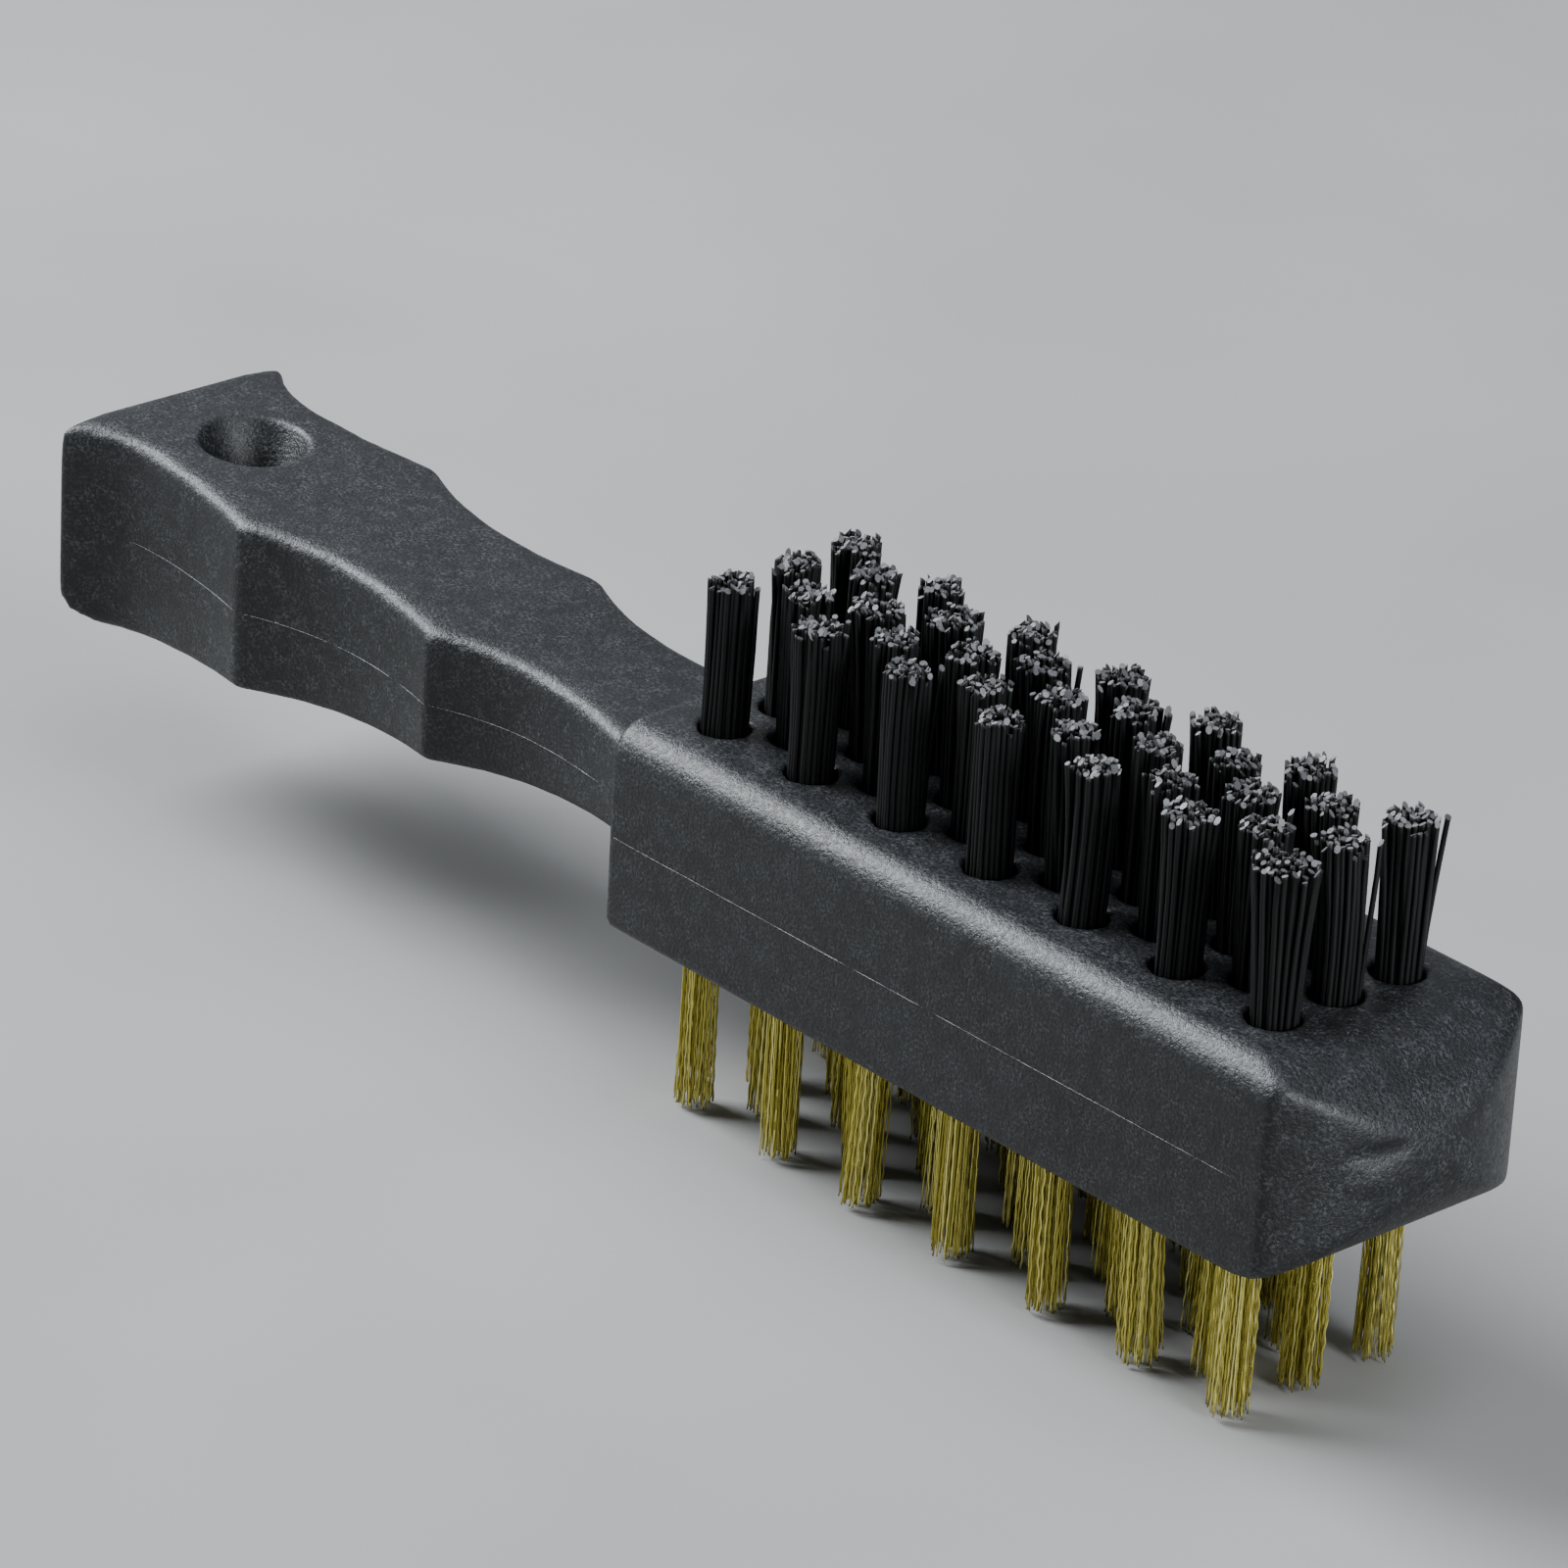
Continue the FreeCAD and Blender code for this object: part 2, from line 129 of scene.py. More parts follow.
def ramp(tree, source, stops):
    """A colour ramp with stops given as (position, grey or colour)."""
    node = tree.nodes.new("ShaderNodeValToRGB")
    elements = node.color_ramp.elements
    while len(elements) < len(stops):
        elements.new(0.5)
    for element, (position, colour) in zip(elements, stops):
        element.position = position
        element.color = (colour, colour, colour, 1) if isinstance(colour, float) else (*colour, 1)
    tree.links.new(source, node.inputs["Fac"])
    return node.outputs["Color"]


def between(tree, source, low, high, start=0.3, end=0.7):
    """A ramp from low to high over the middle part of a noise's range."""
    return ramp(tree, source, [(start, low), (end, high)])


def bump(tree, height, strength, distance, under=None):
    """The normal of a bump distance mm high, laid over the normal under."""
    node = add_node(tree, "ShaderNodeBump", Strength=strength, Distance=distance * MM)
    tree.links.new(height, node.inputs["Height"])
    if under is not None:
        tree.links.new(under, node.inputs["Normal"])
    return node.outputs["Normal"]


def connect(tree, shader, **sources):
    """Link sources to the shader's inputs, an underscore standing for a space in a name."""
    for name, source in sources.items():
        tree.links.new(source, shader.inputs[name.replace("_", " ")])


def moulded_plastic():
    """Black plastic from a spark-eroded mould: fine sparkling grain, satin, with pale dust in it."""
    material, tree, shader = new_material("grained_black_plastic")
    patches = noise_node(tree, 9.0, detail=3.0, roughness=0.6)
    specks = noise_node(tree, 0.25, detail=2.0, roughness=0.6)
    blotches = noise_node(tree, 1.6, detail=3.0, roughness=0.6)
    grain = noise_node(tree, 0.34, detail=3.0, roughness=0.7)
    swell = noise_node(tree, 3.5, detail=2.0)
    mixed = add_node(tree, "ShaderNodeMixRGB", blend_type="ADD")
    tree.links.new(between(tree, blotches, 0.15, 1.0, 0.38, 0.62), mixed.inputs["Fac"])
    tree.links.new(between(tree, patches, PLASTIC_DARK, PLASTIC_PALE), mixed.inputs["Color1"])
    tree.links.new(between(tree, specks, NO_DUST, DUST, 0.47, 0.67), mixed.inputs["Color2"])
    fine = bump(tree, grain, strength=1.0, distance=0.10)
    connect(tree, shader, Base_Color=mixed.outputs["Color"],
            Roughness=between(tree, grain, 0.33, 0.52, 0.35, 0.65),
            Normal=bump(tree, swell, strength=0.35, distance=0.08, under=fine))
    shader.inputs["IOR"].default_value = 1.37
    return material


def nylon_side():
    """Black nylon filament: satin sides with lengthwise draw marks."""
    material, tree, shader = new_material("nylon_filament_side")
    marks = noise_node(tree, 0.12, detail=2.0, stretch=(1.0, 1.0, 0.06))
    connect(tree, shader, Base_Color=between(tree, strand_tone(tree), NYLON_DARK, NYLON_PALE, 0.0, 1.0),
            Roughness=between(tree, marks, 0.46, 0.66),
            Normal=bump(tree, marks, strength=0.3, distance=0.01))
    shader.inputs["IOR"].default_value = 1.29
    return material


def nylon_cut_end():
    """The cut ends of the nylon, paler and rougher than its sides."""
    material, tree, shader = new_material("nylon_cut_end")
    crumble = noise_node(tree, 0.12, detail=3.0)
    tones = [(0.0, CUT_DARK), (0.5, CUT_MIDDLE), (1.0, CUT_PALE)]
    connect(tree, shader, Base_Color=ramp(tree, strand_tone(tree), tones),
            Roughness=between(tree, crumble, 0.45, 0.7),
            Normal=bump(tree, crumble, strength=0.8, distance=0.04))
    return material


def brass_wire():
    """Fine brass wire, bright on some strands and a little tarnished on others."""
    material, tree, shader = new_material("crimped_brass_wire")
    streaks = noise_node(tree, 0.25, detail=2.0, stretch=(1.0, 1.0, 0.2))
    tones = [(0.0, BRASS_DULL), (0.5, BRASS_MIDDLE), (1.0, BRASS_BRIGHT)]
    connect(tree, shader, Base_Color=ramp(tree, strand_tone(tree), tones),
            Roughness=between(tree, streaks, 0.24, 0.46))
    shader.inputs["Metallic"].default_value = 1.0
    return material


def staple_wire():
    """Flat drawn steel wire."""
    material, tree, shader = new_material("flat_staple_wire")
    drawn = noise_node(tree, 0.2, detail=2.0, stretch=(0.1, 1.0, 1.0))
    connect(tree, shader, Base_Color=between(tree, drawn, STEEL_DARK, STEEL_PALE),
            Roughness=between(tree, drawn, 0.28, 0.42))
    shader.inputs["Metallic"].default_value = 1.0
    return material


def studio_floor():
    """Matt pale grey, with a faint unevenness."""
    material, tree, shader = new_material("pale_floor")
    connect(tree, shader, Base_Color=between(tree, noise_node(tree, 60.0), FLOOR_DARK, FLOOR_PALE))
    shader.inputs["Roughness"].default_value = 0.9
    return material


PLASTIC = moulded_plastic()
NYLON_SIDE = nylon_side()
NYLON_END = nylon_cut_end()
BRASS = brass_wire()
STEEL = staple_wire()


# ---------------------------------------------------------------- mesh helpers

def add_piece(name, mesh):
    """Put a mesh in the scene as a piece of the brush."""
    piece = bpy.data.objects.new(name, mesh)
    scene.collection.objects.link(piece)
    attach(piece, "root")
    return piece


def applied(source, modifiers):
    """A new mesh: source's mesh after modifiers, each given as (kind, settings)."""
    holder = bpy.data.objects.new("holder", source)
    scene.collection.objects.link(holder)
    for kind, settings in modifiers:
        modifier = holder.modifiers.new(kind, kind)
        for key, value in settings.items():
            setattr(modifier, key, value)
    graph = bpy.context.evaluated_depsgraph_get()
    mesh = bpy.data.meshes.new_from_object(holder.evaluated_get(graph))
    bpy.data.objects.remove(holder)
    return mesh


def rising(distance, reach):
    """0 up to distance 0, 1 from reach on, and a straight climb between them."""
    return np.clip(distance / reach, 0, 1)


def falling(distance, reach):
    """1 up to distance 0, 0 from reach on, and a straight fall between them."""
    return np.clip(1 - distance / reach, 0, 1)


def tube_mesh(name, paths, radii, tones, sides, end_tilts, materials):
    """Many thin round strands as one mesh.

    paths is strands x levels x 3 in mm, all close to upright, listed from root to tip. Each strand is
    closed at both ends, and its tip is cut at the slope given by end_tilts. A second material, where
    there is one, is for the tips.
    """
    strands, levels, _ = paths.shape
    angles = np.arange(sides) * FULL_TURN / sides
    ring = np.stack([np.cos(angles), np.sin(angles), np.zeros(sides)], 1)
    points = paths[:, :, None, :] + radii[:, :, None, None] * ring[None, None]
    lift = end_tilts @ ring[:, :2].T
    points[:, -1, :, 2] += lift * radii[:, -1:]
    points = points.reshape(-1, 3) * MM
    first = (np.arange(strands) * levels * sides)[:, None, None]
    level = (np.arange(levels - 1) * sides)[None, :, None]
    around = np.arange(sides)[None, None, :]
    following = (around + 1) % sides
    corners = [first + level + around, first + level + following,
               first + level + sides + following, first + level + sides + around]
    quads = np.stack(corners, -1).reshape(-1, 4)
    tips = first[:, 0, :] + (levels - 1) * sides + np.arange(sides)[None]
    roots = first[:, 0, :] + np.arange(sides)[None][:, ::-1]
    upward = paths[0, -1, 2] > paths[0, 0, 2]
    if not upward:
        quads, tips, roots = quads[:, ::-1], tips[:, ::-1], roots[:, ::-1]
    mesh = bpy.data.meshes.new(name)
    mesh.from_pydata(points.tolist(), [], quads.tolist() + tips.tolist() + roots.tolist())
    tone = mesh.attributes.new("tone", "FLOAT", "POINT")
    tone.data.foreach_set("value", np.repeat(tones, levels * sides).astype(np.float32))
    mesh.polygons.foreach_set("use_smooth", [True] * len(quads) + [False] * (2 * strands))
    for material in materials:
        mesh.materials.append(material)
    if len(materials) > 1:
        mesh.polygons.foreach_set("material_index", [0] * len(quads) + [1] * strands + [0] * strands)
    mesh.update()
    return mesh


def tuft_centres(node):
    """Where a row's tufts stand, in mm, from the node's own box."""
    low, high = box_mm(node)
    count = LONG_ROW if high.x - low.x > (LONG_ROW - 1) * TUFT_PITCH else SHORT_ROW
    middle = (low.x + high.x) / 2
    across = (low.y + high.y) / 2
    return [(middle + (i - (count - 1) / 2) * TUFT_PITCH, across) for i in range(count)]


def turned(x, y, angle):
    """A point, or arrays of them, turned about the origin."""
    return x * math.cos(angle) - y * math.sin(angle), x * math.sin(angle) + y * math.cos(angle)


def packed_disc(generator, radius, spacing, jitter):
    """Points about spacing apart inside a circle: a turned, shifted and shaken honeycomb."""
    turn = generator.uniform(0, math.pi)
    shift = generator.uniform(-spacing / 2, spacing / 2, 2)
    reach = int(radius / spacing) + 2
    points = []
    for row in range(-reach, reach + 1):
        for column in range(-reach, reach + 1):
            x = (column + (row % 2) / 2) * spacing + shift[0]
            y = row * spacing * math.sqrt(3) / 2 + shift[1]
            x += generator.uniform(-jitter, jitter)
            y += generator.uniform(-jitter, jitter)
            if math.hypot(x, y) <= radius:
                points.append(turned(x, y, turn))
    return np.array(points)


def add_strands(node, name, tufts, sides, materials):
    """One piece made of a row's tufts, each a tuple of paths, radii, tones and end slopes."""
    paths, radii, tones, tilts = (np.concatenate(part) for part in zip(*tufts))
    mesh = tube_mesh(name, paths, radii, tones, sides, tilts, materials)
    piece = add_piece(name, mesh)
    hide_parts(node)


# ---------------------------------------------------------------- the moulded body

BODY_VOXEL = 0.38
# How far the easing reaches from an edge, and how far it takes to fade in beside the head or hole.
HANDLE_RIM, LOWER_RIM_SHARE = 3.0, 0.25
NECK_GAP, NECK_FADE = 1.0, 4.0
HOLE_MOUTH, HOLE_FADE = 5.6, 1.5
TAIL_CORNER, TAIL_HEEL = 4.5, 6.0
CREASE_GAP, CREASE_FADE, CREASE_SHARE = 0.5, 1.5, 0.75
HEAD_CORNER, HEAD_CORNER_HEIGHT = 4.0, 5.0
# The gate mark on the nose.
GATE_Y, GATE_Z = -5.4, HEAD_MIDDLE + 1.9
GATE_HALF_WIDTH = 2.9
DENT_HALF_HEIGHT, DENT_DEPTH = 0.95, 0.29
LIP_BELOW, LIP_HALF_HEIGHT, LIP_RISE = 2.3, 1.1, 0.15


def shell_mesh():
    """The CAD body's shape with every edge eased a little, on an even mesh."""
    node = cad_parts[CAD_BODY]
    welded = bmesh.new()
    welded.from_mesh(node.data)
    bmesh.ops.remove_doubles(welded, verts=welded.verts, dist=1e-6)
    source = bpy.data.meshes.new("welded")
    welded.to_mesh(source)
    welded.free()
    mesh = applied(source, [
        ("REMESH", {"mode": "VOXEL", "voxel_size": BODY_VOXEL * MM, "adaptivity": 0.0}),
        ("SHRINKWRAP", {"target": node, "wrap_method": "NEAREST_SURFACEPOINT"}),
        ("SMOOTH", {"factor": 0.5, "iterations": 3}),
    ])
    ease_handle_rims(mesh)
    ease_tail_corners(mesh)
    ease_nose(mesh)
    sink_gate_mark(mesh)
    mesh.name = "body_shell"
    mesh.polygons.foreach_set("use_smooth", [True] * len(mesh.polygons))
    mesh.materials.clear()
    mesh.materials.append(PLASTIC)
    return mesh


def mesh_points(mesh):
    """The mesh's vertices as an array, in mm."""
    flat = np.empty(len(mesh.vertices) * 3)
    mesh.vertices.foreach_get("co", flat)
    return flat.reshape(-1, 3) / MM


def put_points(mesh, points):
    """Move the mesh's vertices to points, in mm."""
    mesh.vertices.foreach_set("co", (points * MM).ravel())
    mesh.update()


def relaxed(mesh, weight, rounds):
    """Ease the mesh's edges where weight, one number from 0 to 1 for each vertex, is above 0."""
    points = mesh_points(mesh)
    pairs = np.empty(len(mesh.edges) * 2, dtype=np.int64)
    mesh.edges.foreach_get("vertices", pairs)
    pairs = pairs.reshape(-1, 2)
    pairs = np.concatenate([pairs, pairs[:, ::-1]])
    pairs = pairs[weight[pairs[:, 0]] > 0]
    own, other = pairs.T
    count = np.maximum(np.bincount(own, minlength=len(points)), 1)
    for _ in range(rounds):
        sums = [np.bincount(own, weights=points[other, axis], minlength=len(points))
                for axis in range(3)]
        mean = np.stack(sums, 1) / count[:, None]
        points += 0.5 * weight[:, None] * (mean - points)
    put_points(mesh, points)


def ease_handle_rims(mesh):
    """The handle's rims are rounder than the head's, its upper rim most of all."""
    points = mesh_points(mesh)
    x, y, z = points.T
    slices = np.floor(x - BODY_LOW.x).astype(int)
    top = np.full(slices.max() + 1, -np.inf)
    np.maximum.at(top, slices, z)
    near_top = falling(top[slices] - z, HANDLE_RIM)
    on_handle = rising(HEAD_BACK - NECK_GAP - x, NECK_FADE)
    off_hole = rising(np.hypot(x - HOLE_X, y) - HOLE_MOUTH, HOLE_FADE)
    by_height = LOWER_RIM_SHARE + (1 - LOWER_RIM_SHARE) * near_top
    relaxed(mesh, on_handle * off_hole * by_height, rounds=18)


def ease_tail_corners(mesh):
    """Blunt the two upright corners at the end of the handle, and the edge under it."""
    points = mesh_points(mesh)
    behind = points[:, 0] - BODY_LOW.x
    end = points[behind < 1.0]
    side = np.abs(points[:, 1]) - np.abs(end[:, 1]).max()
    under = points[:, 2] - end[:, 2].min()
    share = np.maximum(falling(np.hypot(behind, side), TAIL_CORNER),
                       falling(np.hypot(behind, under), TAIL_HEEL))
    relaxed(mesh, share * (2 - share), rounds=26)


def ease_nose(mesh):
    """The nose's creases are soft, and the head's corners run out into them."""
    x, y, z = mesh_points(mesh).T
    ahead = rising(x - (HEAD_FRONT - CREASE_GAP), CREASE_FADE)
    away = np.hypot(x - HEAD_FRONT, np.abs(y) - BODY_HIGH.y)
    from_rim = np.minimum(HEAD_TOP - z, z - HEAD_BOTTOM)
    near_corner = falling(away, HEAD_CORNER) * falling(from_rim, HEAD_CORNER_HEIGHT)
    relaxed(mesh, np.maximum(CREASE_SHARE * ahead, near_corner), rounds=12)


def sink_gate_mark(mesh):
    """The moulding gate's mark on the nose: a shallow dimple with a low lip under it."""
    points = mesh_points(mesh)
    x, y, z = points.T
    across = (y - GATE_Y) / GATE_HALF_WIDTH
    up_dent = (z - GATE_Z) / DENT_HALF_HEIGHT
    up_lip = (z - GATE_Z + LIP_BELOW) / LIP_HALF_HEIGHT
    dent = np.clip(1 - across ** 4 - up_dent ** 2, 0, 1)
    lip = np.clip(1 - across ** 2 - up_lip ** 2, 0, 1)
    on_nose = x > HEAD_FRONT + 1.0
    points[:, 0] += (LIP_RISE * lip - DENT_DEPTH * dent) * on_nose
    put_points(mesh, points)


# ---------------------------------------------------------------- the parting line

LINE_HEIGHT = HEAD_MIDDLE - 0.7
LINE_STEP = 0.6
LINE_HALF_WIDTH = 0.13
LINE_PROUD, LINE_ROOT = 0.055, 0.12
# On the handle the line runs a little lower than on the head.
LINE_DROP, DROP_LENGTH = 0.3, 10.0
# It wavers slowly and is worn in places, by noise of these scales per mm.
WANDER, WANDER_SCALE = 0.04, 0.15
WEAR_SCALE = 0.45
# Near the two ends it sinks into the plastic, over these lengths.
TAIL_GAP, TAIL_FADE = 3.0, 5.0
NOSE_GAP, NOSE_FADE = 1.0, 3.0
LINE_SUNK = 0.05


def outline_at(mesh, height):
    """The mesh's outer outline at a height, as a closed list of (x, y) in mm."""
    cut = bmesh.new()
    cut.from_mesh(mesh)
    section = bmesh.ops.bisect_plane(cut, geom=cut.verts[:] + cut.edges[:] + cut.faces[:],
                                     plane_co=(0, 0, height * MM), plane_no=(0, 0, 1),
                                     clear_inner=True, clear_outer=True)
    neighbours = {}
    for edge in section["geom_cut"]:
        if isinstance(edge, bmesh.types.BMEdge):
            a, b = edge.verts
            neighbours.setdefault(a, []).append(b)
            neighbours.setdefault(b, []).append(a)
    start = max(neighbours, key=lambda vertex: vertex.co.x)
    loop = [start]
    previous, current = None, start
    while True:
        choices = [v for v in neighbours[current] if v is not previous]
        if not choices or choices[0] is start:
            break
        previous, current = current, choices[0]
        loop.append(current)
    points = [(v.co.x / MM, v.co.y / MM) for v in loop]
    cut.free()
    return points


def resampled(points, step):
    """A closed outline with evenly spaced points."""
    closed = np.array(points + points[:1])
    along = np.concatenate([[0.0], np.cumsum(np.hypot(*np.diff(closed, axis=0).T))])
    count = round(along[-1] / step)
    places = np.arange(count) * along[-1] / count
    return list(zip(np.interp(places, along, closed[:, 0]), np.interp(places, along, closed[:, 1])))


def parting_line_mesh(shell):
    """The thin raised line where the two halves of the mould met, worn away at both ends."""
    outline = resampled(outline_at(shell, LINE_HEIGHT), LINE_STEP)
    area = sum(x0 * y1 - x1 * y0 for (x0, y0), (x1, y1) in zip(outline, outline[1:] + outline[:1]))
    if area < 0:
        outline.reverse()
    total = len(outline)
    vertices = []
    for k, (x, y) in enumerate(outline):
        before, after = outline[k - 1], outline[(k + 1) % total]
        out = Vector((after[1] - before[1], before[0] - after[0], 0)).normalized()
        drop = LINE_DROP * rising(HEAD_BACK - x, DROP_LENGTH)
        wander = WANDER * noise.noise(Vector((x * WANDER_SCALE, y * WANDER_SCALE, 0)))
        wear = 0.5 + 0.9 * noise.noise(Vector((x * WEAR_SCALE, y * WEAR_SCALE, 7.0)))
        kept = min(rising(x - BODY_LOW.x - TAIL_GAP, TAIL_FADE),
                   rising(HEAD_FRONT - NOSE_GAP - x, NOSE_FADE))
        crest = LINE_PROUD * min(max(wear, -0.3), 1.0) * kept - LINE_SUNK * (1 - kept)
        centre = Vector((x, y, LINE_HEIGHT - drop + wander))
        for offset, rise in ((-LINE_ROOT, -LINE_HALF_WIDTH), (crest, 0.0), (-LINE_ROOT, LINE_HALF_WIDTH)):
            vertices.append((centre + out * offset + Vector((0, 0, rise))) * MM)
    faces = []
    for k in range(total):
        a, b = 3 * k, 3 * ((k + 1) % total)
        for side in range(3):
            above = (side + 1) % 3
            faces.append((a + side, b + side, b + above, a + above))
    mesh = bpy.data.meshes.new("parting_line")
    mesh.from_pydata(vertices, [], faces)
    mesh.materials.append(PLASTIC)
    mesh.update()
    return mesh


def make_body():
    mesh = shell_mesh()
    body = add_piece("body_shell", mesh)
    add_piece("parting_line", parting_line_mesh(mesh))
    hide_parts(CAD_BODY)


# ---------------------------------------------------------------- nylon tufts

# The longest strands of either kind stop this far short of the CAD tuft's end.
TIP_GAP = 0.05

NYLON_SEED = 400
NYLON_SPACING = 0.43
NYLON_JITTER = 0.045
NYLON_RADIUS = 0.22
NYLON_REACH = 1.70
NYLON_SIDES = 7
NYLON_ROOT_LIFT = 0.4
NYLON_LEAN = 0.17
NYLON_TWIST = 0.12
NYLON_BOW = 0.06
NYLON_WANDER = 0.06
NYLON_WAVE = 0.028
NYLON_CUT_SLOPE = 0.55
NYLON_RAGGED = 0.5      # how far most cut ends lie below the highest ones
NYLON_SHORT = 0.7       # how much lower a few of them are
NYLON_DOME = 0.22       # how much lower a tuft's rim is than its middle
# The share of a filament in its hole, and where its rings are from root to tip.
BURIED = 0.3
NYLON_LEVELS = np.array([0.0, BURIED, 0.5, 0.7, 0.86, 0.985, 1.0])
# Extra flare of the tufts that use has spread, by (row, place in the row).
SPLAYED = {(1, 6): 0.40, (1, 1): 0.10, (2, 5): 0.16, (4, 2): 0.12}


def nylon_tuft(generator, centre, foot, face, top, splay):
    """Strand paths, radii, tones and end slopes of one tuft.

    Some tufts flare more than others, and splay adds to that. A few outer filaments stray.
    """
    roots = packed_disc(generator, NYLON_REACH, NYLON_SPACING, NYLON_JITTER)
    count = len(roots)
    rim = np.linalg.norm(roots, axis=1) / NYLON_REACH
    lean = generator.normal(0, NYLON_LEAN, 2)
    flare = 1.02 + 0.30 * generator.random() ** 2.5 + splay
    twist = generator.uniform(-NYLON_TWIST, NYLON_TWIST)
    bow = generator.normal(0, NYLON_BOW, 2)
    tips = np.stack(turned(*(roots * flare).T, twist), 1)
    tips += lean + generator.normal(0, NYLON_WANDER, (count, 2))
    stray = (generator.random(count) < 0.06 + 0.4 * splay) & (rim > 0.7)
    push = generator.uniform(0.3, 0.95, (int(stray.sum()), 1))
    tips[stray] += roots[stray] / NYLON_REACH * push
    heights = top - TIP_GAP - generator.uniform(0, NYLON_RAGGED, count)
    heights -= NYLON_SHORT * generator.random(count) ** 4 + NYLON_DOME * rim ** 2
    ease = rising(NYLON_LEVELS - BURIED, 1 - BURIED)
    share = (ease ** 1.3)[None, :, None]
    arch = (4 * ease * (1 - ease))[None, :, None]
    wave = generator.normal(0, NYLON_WAVE, (count, len(NYLON_LEVELS), 2)) * ease[None, :, None]
    wave[:, -1] = wave[:, -2]
    paths = np.zeros((count, len(NYLON_LEVELS), 3))
    paths[:, :, :2] = (roots[:, None] * (1 - share) + tips[:, None] * share
                       + np.array(centre) + bow * arch + wave)
    below = (face - foot) * rising(NYLON_LEVELS, BURIED)
    paths[:, :, 2] = foot + below[None] + (heights - face)[:, None] * ease[None]
    radii = np.full(paths.shape[:2], NYLON_RADIUS) * generator.uniform(0.94, 1.05, (count, 1))
    radii[:, -1] *= generator.uniform(0.85, 1.25, count)
    tones = generator.random(count)
    tilts = generator.normal(0, NYLON_CUT_SLOPE, (count, 2))
    return paths, radii, tones, tilts


def make_nylon_row(row):
    node = "nylon_tufts_row_%d" % row
    low, high = box_mm(node)
    generator = np.random.default_rng(NYLON_SEED + row)
    foot = low.z + NYLON_ROOT_LIFT
    tufts = [nylon_tuft(generator, centre, foot, HEAD_TOP, high.z, SPLAYED.get((row, place), 0.0))
             for place, centre in enumerate(tuft_centres(node))]
    add_strands(node, "nylon_bristles_row_%d" % row, tufts, NYLON_SIDES, [NYLON_SIDE, NYLON_END])


# ---------------------------------------------------------------- brass tufts

BRASS_SEED = 900
WIRE_SPACING = 0.31
WIRE_JITTER = 0.09
WIRE_RADIUS = 0.08
WIRE_REACH = 1.46
WIRE_SIDES = 4
WIRE_ROOT_DROP = 0.4
WIRE_LEAN = 0.22
WIRE_BOW = 0.09
WIRE_WANDER = 0.10
WIRE_CUT_SLOPE = 0.3
WIRE_RAGGED = 0.5       # how far most tips lie above the lowest ones
WIRE_SHORT = 1.8        # how much shorter a few wires are
CRIMP_LENGTH = 1.9
CRIMP_SWING = 0.052
CRIMP_STEPS = 5         # rings in one wave
CLUMPS = 7


def brass_tuft(generator, centre, foot, face, floor):
    """Strand paths, radii, tones and end slopes of one tuft of crimped wire.

    The wires of a tuft swing much the same way, each with its own start and length of wave, and
    their ends gather into a few clumps.
    """
    roots = packed_disc(generator, WIRE_REACH, WIRE_SPACING, WIRE_JITTER)
    count = len(roots)
    lean = generator.normal(0, WIRE_LEAN, 2)
    flare = generator.uniform(1.0, 1.25)
    tips = roots * flare + generator.normal(0, WIRE_WANDER, (count, 2))
    clumps = packed_disc(generator, WIRE_REACH * flare, WIRE_REACH * 2 / math.sqrt(CLUMPS), 0.3)
    nearest = np.argmin(np.linalg.norm(tips[:, None] - clumps[None], axis=2), axis=1)
    tips += (clumps[nearest] - tips) * generator.uniform(0.05, 0.5, (count, 1)) + lean
    ends = floor + TIP_GAP + generator.uniform(0, WIRE_RAGGED, count)
    ends += WIRE_SHORT * generator.random(count) ** 5
    along = np.linspace(0, 1, int((face - floor) / CRIMP_LENGTH * CRIMP_STEPS) + 1)
    in_sight = face - (face - ends)[:, None] * along[None]
    heights = np.concatenate([np.full((count, 1), foot), in_sight], 1)
    share = np.concatenate([[0.0], along ** 1.25])[None, :, None]
    arch = np.concatenate([[0.0], 4 * along * (1 - along)])[None, :, None]
    phase = generator.uniform(0, FULL_TURN) + generator.normal(0, 1.3, count)
    heading = generator.uniform(0, FULL_TURN) + generator.normal(0, 0.5, count)
    swing = CRIMP_SWING * generator.uniform(0.5, 1.4, count)
    wavelength = CRIMP_LENGTH * generator.uniform(0.95, 1.05, count)
    angle = (face - heights) / wavelength[:, None] * FULL_TURN + phase[:, None]
    crimp = swing[:, None] * np.sin(angle)
    crimp[:, 0] = 0
    bow = generator.normal(0, WIRE_BOW, (count, 2))
    paths = np.zeros((count, heights.shape[1], 3))
    paths[:, :, :2] = (roots[:, None] * (1 - share) + tips[:, None] * share
                       + bow[:, None] * arch + np.array(centre))
    paths[:, :, 0] += crimp * np.cos(heading)[:, None]
    paths[:, :, 1] += crimp * np.sin(heading)[:, None]
    paths[:, :, 2] = heights
    radii = np.full(heights.shape, WIRE_RADIUS) * generator.uniform(0.9, 1.1, (count, 1))
    tones = generator.random(count)
    tilts = generator.normal(0, WIRE_CUT_SLOPE, (count, 2))
    return paths, radii, tones, tilts


def make_brass_row(row):
    node = "brass_tufts_row_%d" % row
    low, high = box_mm(node)
    generator = np.random.default_rng(BRASS_SEED + row)
    foot = high.z - WIRE_ROOT_DROP
    tufts = [brass_tuft(generator, centre, foot, HEAD_BOTTOM, low.z) for centre in tuft_centres(node)]
    add_strands(node, "brass_bristles_row_%d" % row, tufts, WIRE_SIDES, [BRASS])


def finish_staples(row):
    """The staples keep their CAD shape and get the look of drawn steel."""
    for kind in ("nylon", "brass"):
        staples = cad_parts["%s_staples_row_%d" % (kind, row)]
        for material_slot in staples.material_slots:
            material_slot.material = STEEL


# ---------------------------------------------------------------- stage

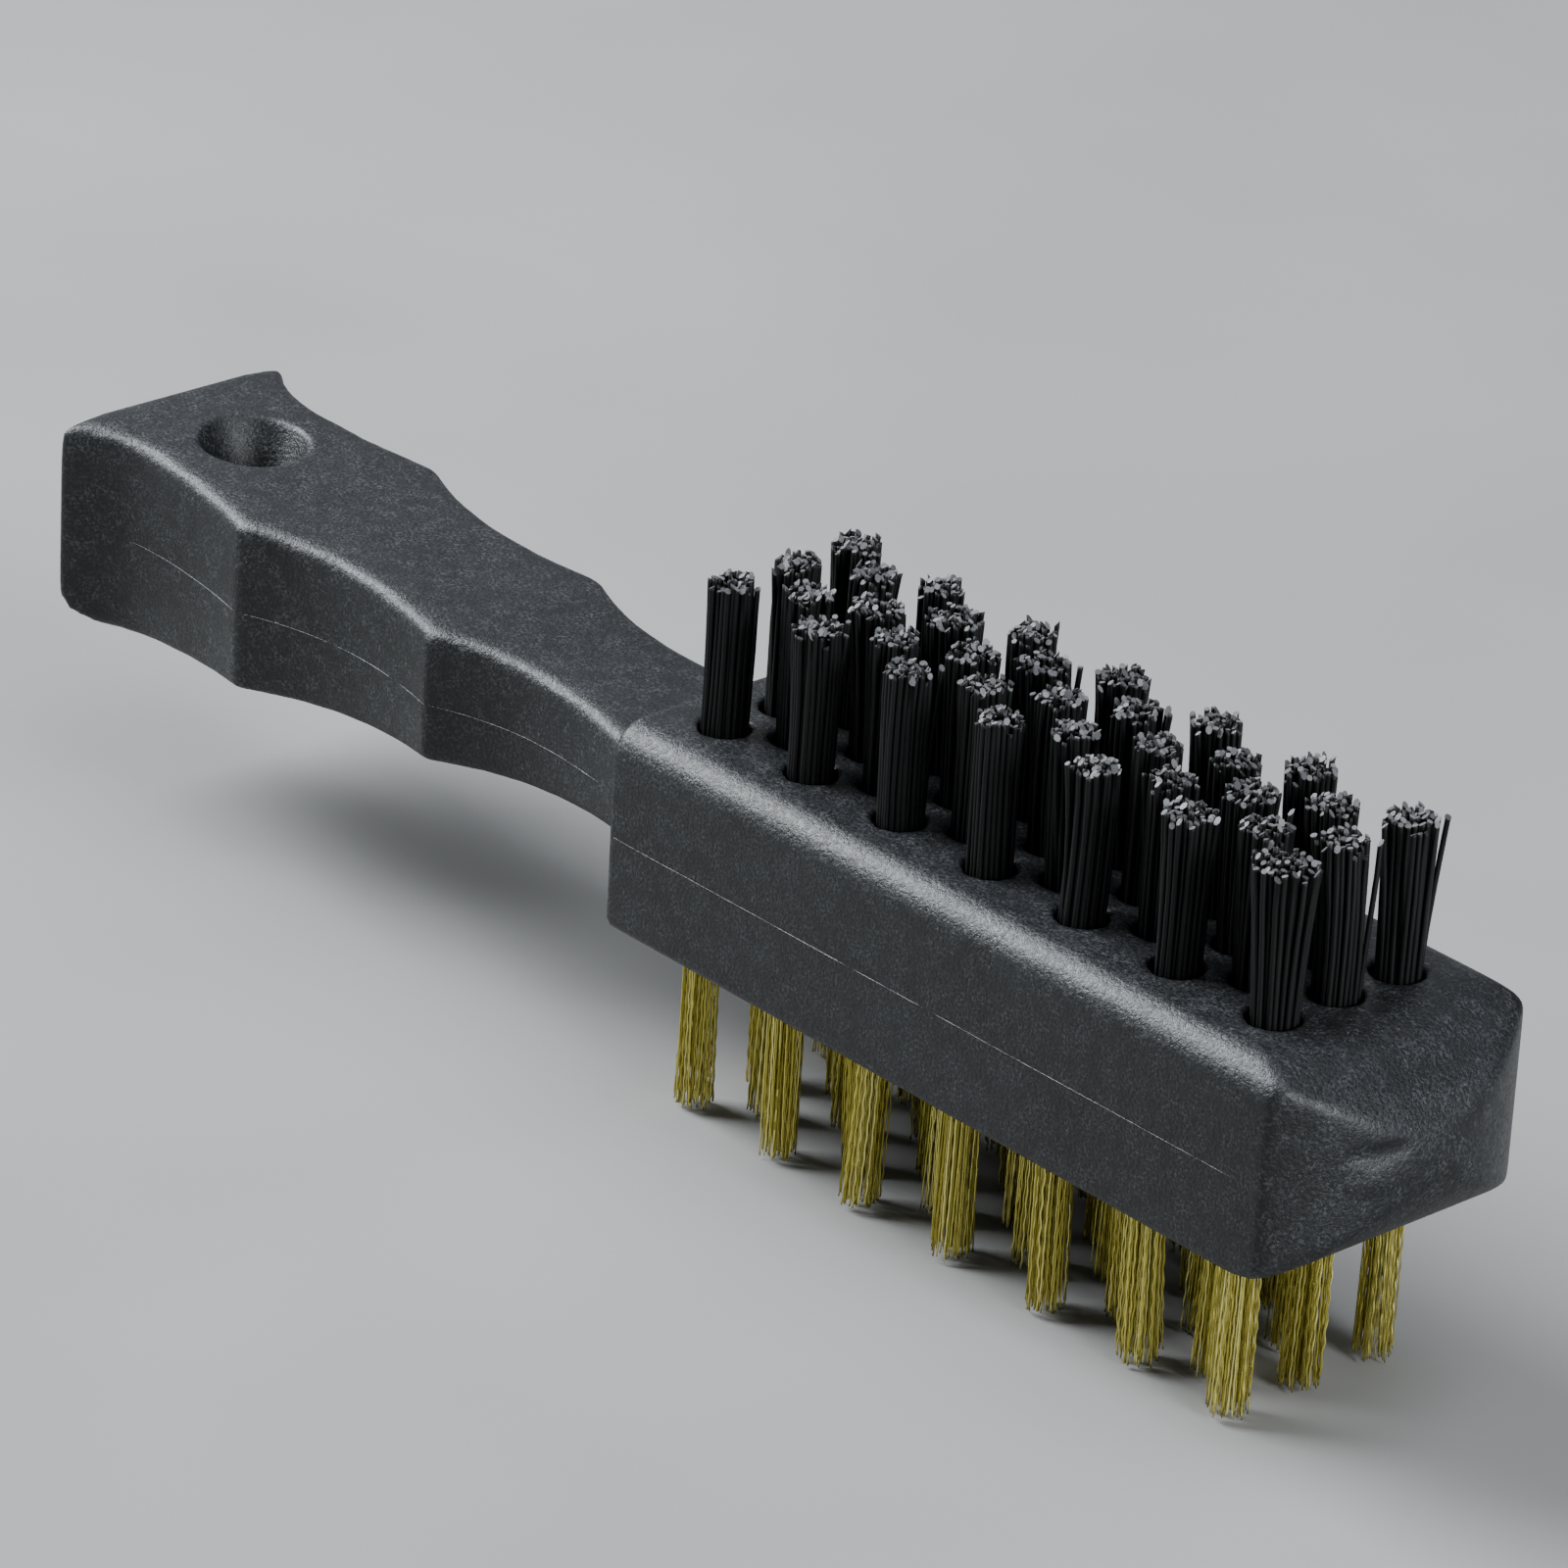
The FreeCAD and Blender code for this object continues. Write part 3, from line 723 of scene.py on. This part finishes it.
FLOOR_REACH = 3.0
FLOOR_DROP = 0.0002
SKY_COLOUR, SKY_STRENGTH = (0.93, 0.97, 1.0), 0.15
LIT_POINT = (0.03, 0, 0.024)
COOL_WHITE = (0.92, 0.96, 1.0)
# Name, direction from the head, distance, diameter, power in watts and colour of each light.
LIGHTS = (
    ("key", (-0.69, -0.31, 0.62), 0.9, 0.60, 34.0, COOL_WHITE),
    ("above", (0.22, 0.10, 0.97), 1.1, 0.7, 10.0, (0.90, 0.94, 1.0)),
    ("far", (-0.66, 0.61, 0.45), 1.1, 1.0, 1.0, (0.86, 0.92, 1.0)),
    ("front", (0.915, -0.03, 0.385), 0.9, 0.34, 11.0, COOL_WHITE),
    ("fill", (0.90, -0.05, 0.08), 0.9, 0.7, 8.0, COOL_WHITE),
)
CAMERA_AZIMUTH, CAMERA_ELEVATION, CAMERA_ROLL = 47.288, 25.294, 3.163
CAMERA_FROM_FIELD = Vector((0.38594, -0.38378, 0.26086))
# The sensor and the focal length are in millimetres, as Blender has them.
CAMERA_SENSOR, CAMERA_LENS = 36.0, 185.78


def add_light(name, direction, distance, size, power, colour):
    """A round area light that faces the head."""
    data = bpy.data.lights.new(name, "AREA")
    data.shape = "DISK"
    data.size = size
    data.energy = power
    data.color = colour
    lamp = bpy.data.objects.new(name, data)
    scene.collection.objects.link(lamp)
    target = Vector(LIT_POINT)
    lamp.location = target + Vector(direction).normalized() * distance
    lamp.rotation_euler = (target - lamp.location).to_track_quat("-Z", "Y").to_euler()


def make_stage():
    """The floor, the world's dim light and the lights."""
    mesh = bpy.data.meshes.new("floor")
    corners = [(-1, -1), (1, -1), (1, 1), (-1, 1)]
    mesh.from_pydata([(FLOOR_REACH * x, FLOOR_REACH * y, 0) for x, y in corners], [], [(0, 1, 2, 3)])
    mesh.materials.append(studio_floor())
    floor = bpy.data.objects.new("floor", mesh)
    scene.collection.objects.link(floor)
    floor.location.z = -FLOOR_DROP
    world = bpy.data.worlds.new("studio")
    world.use_nodes = True
    sky = world.node_tree.nodes["Background"]
    sky.inputs["Color"].default_value = (*SKY_COLOUR, 1)
    sky.inputs["Strength"].default_value = SKY_STRENGTH
    scene.world = world
    for light in LIGHTS:
        add_light(*light)


def make_camera():
    """A long lens from the front right, a little above, with a slight roll."""
    azimuth, elevation, roll = (math.radians(angle) for angle in
                                (CAMERA_AZIMUTH, CAMERA_ELEVATION, CAMERA_ROLL))
    back = Vector((math.sin(azimuth) * math.cos(elevation), -math.cos(azimuth) * math.cos(elevation),
                   math.sin(elevation)))
    level = Vector((math.cos(azimuth), math.sin(azimuth), 0))
    upright = back.cross(level)
    right = level * math.cos(roll) + upright * math.sin(roll)
    up = upright * math.cos(roll) - level * math.sin(roll)
    place = Vector((FIELD_X, 0, HEAD_TOP)) * MM + CAMERA_FROM_FIELD
    data = bpy.data.cameras.new("camera")
    data.sensor_width = CAMERA_SENSOR
    data.lens = CAMERA_LENS
    data.clip_start = 0.01
    camera = bpy.data.objects.new("camera", data)
    scene.collection.objects.link(camera)
    turn = Matrix((right, up, back)).transposed().to_4x4()
    camera.matrix_world = Matrix.Translation(place) @ turn
    scene.camera = camera


make_camera()
make_stage()
make_body()
for row in ROWS:
    make_nylon_row(row)
    make_brass_row(row)
    finish_staples(row)
